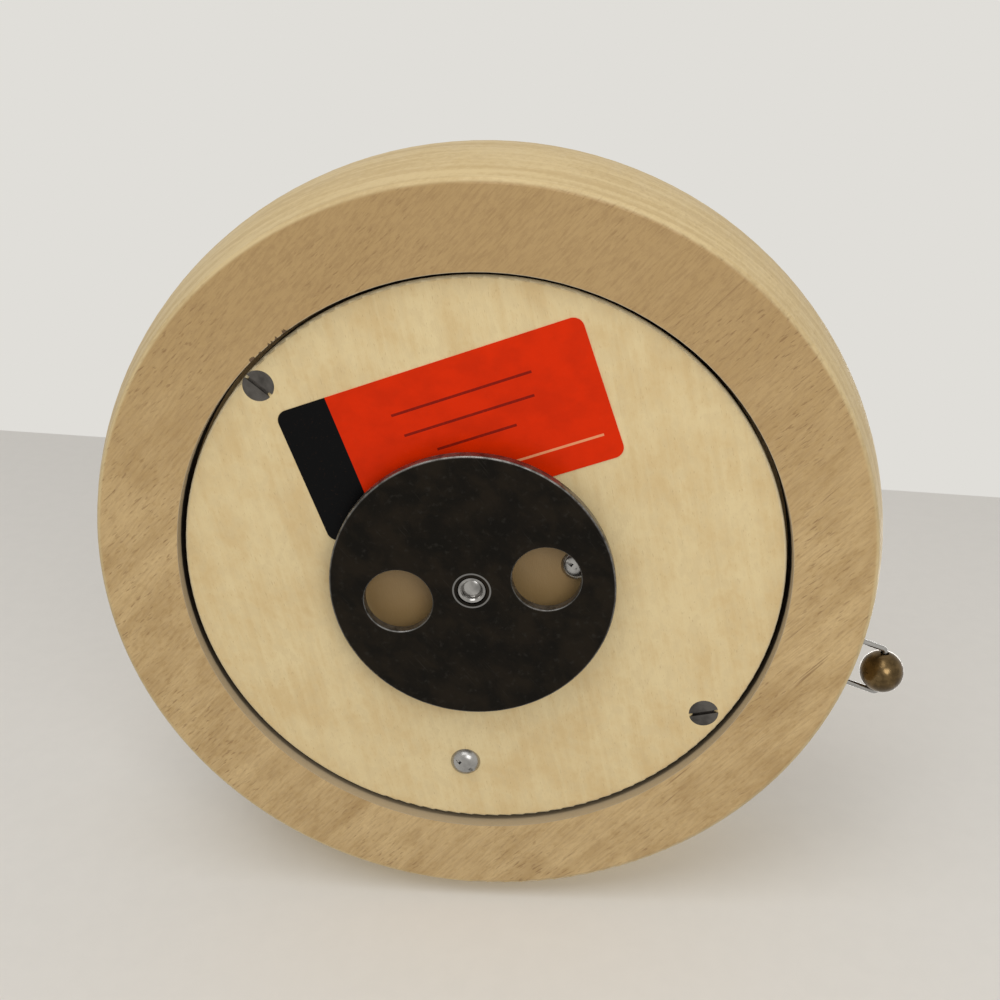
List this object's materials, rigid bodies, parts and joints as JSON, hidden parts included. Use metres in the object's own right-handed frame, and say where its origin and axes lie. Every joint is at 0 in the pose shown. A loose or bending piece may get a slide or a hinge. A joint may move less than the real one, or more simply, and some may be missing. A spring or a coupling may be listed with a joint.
{
  "type": "disc music box",
  "caption": "Turned wooden music box base that stands on the winding disc of its movement, with a pinned cylinder, comb, worm governor and a pull-out stop wire.",
  "frame": {"origin": "on the winding arbor's axis, in the outer face of the winding disc, which the box stands on", "axes": "+Z from the winding disc up into the box, along the arbor and the turned case's axis; +Y from the arbor towards the pinned cylinder; the stop wire stands out towards +X"},
  "size_m": [0.1298, 0.122, 0.033],
  "materials": {
    "beech": "turned, sanded, clear oiled",
    "pale_ply": "smooth sanded",
    "dark_screw_steel": "blackened",
    "bright_steel": "polished",
    "blackened_steel": "oil blackened, bright worn edge",
    "label_print": "satin printed sticker",
    "cast_bed": "die cast, plain",
    "brass_parts": "turned",
    "nickel_sheet": "nickel plated",
    "spring_steel": "blued",
    "comb_steel": "ground",
    "wire_steel": "bright drawn",
    "antique_brass": "aged"
  },
  "bodies": {
    "case": {"wood_base": "beech", "bottom_plate": "pale_ply", "plate_screws": "dark_screw_steel", "movement_screws": "bright_steel", "label": "label_print", "bedplate": "cast_bed", "arbor_bush": "brass_parts", "spring_cage": "nickel_sheet", "cage_rivets": "brass_parts", "mainspring": "spring_steel", "front_plate": "brass_parts", "train_plate": "brass_parts", "cylinder_bracket": "brass_parts", "governor_frame": "nickel_sheet", "frame_screws": "bright_steel", "comb": "comb_steel", "comb_screws": "bright_steel"},
    "great_wheel": {"great_wheel": "brass_parts", "click_screw": "bright_steel", "click_spring": "brass_parts"},
    "click": {"click": "comb_steel"},
    "winder": {"winding_disc": "blackened_steel", "winder_hub": "bright_steel", "arbor": "bright_steel", "ratchet_wheel": "comb_steel", "arbor_clip": "nickel_sheet"},
    "cylinder": {"cylinder_arbor": "bright_steel", "cylinder_pinion": "brass_parts", "cylinder_wheel": "brass_parts", "cylinder_caps": "brass_parts", "pin_cylinder": "brass_parts", "cylinder_pins": "bright_steel"},
    "second": {"second_pinion": "bright_steel", "worm_wheel": "brass_parts"},
    "governor": {"governor_worm": "bright_steel", "fan": "brass_parts"},
    "stop": {"stop_wire": "wire_steel", "bead": "antique_brass"}
  },
  "joints": [
    {"name": "great_wheel_spin", "type": "hinge", "parent": "case", "child": "great_wheel", "pos_m": [0, 0, 0.0228], "axis": [0, 0, 1], "continuous": true},
    {"name": "winding", "type": "hinge", "parent": "great_wheel", "child": "winder", "pos_m": [0, 0, 0], "axis": [0, 0, 1], "continuous": true},
    {"name": "cylinder_spin", "type": "hinge", "parent": "case", "child": "cylinder", "pos_m": [0, 0.0274, 0.01755], "axis": [0, 1, 0], "continuous": true},
    {"name": "second_spin", "type": "hinge", "parent": "case", "child": "second", "pos_m": [0.008, 0.0172, 0.01755], "axis": [0, 1, 0], "continuous": true},
    {"name": "governor_spin", "type": "hinge", "parent": "case", "child": "governor", "pos_m": [0.0147, 0.0162, 0.01755], "axis": [0, 0, 1], "continuous": true},
    {"name": "click_lift", "type": "hinge", "parent": "great_wheel", "child": "click", "pos_m": [0.00602, -0.00669, 0.0243], "axis": [0, 0, 1], "range_deg": [0, 6.3]},
    {"name": "stop_slide", "type": "slide", "parent": "case", "child": "stop", "axis": [0.9397, 0.342, 0], "range_m": [-0.0036, 0]}
  ],
  "couplings": [
    {"joint": "cylinder_spin", "follows": "great_wheel_spin", "ratio": -4},
    {"joint": "second_spin", "follows": "great_wheel_spin", "ratio": 16},
    {"joint": "governor_spin", "follows": "great_wheel_spin", "ratio": 448}
  ]
}
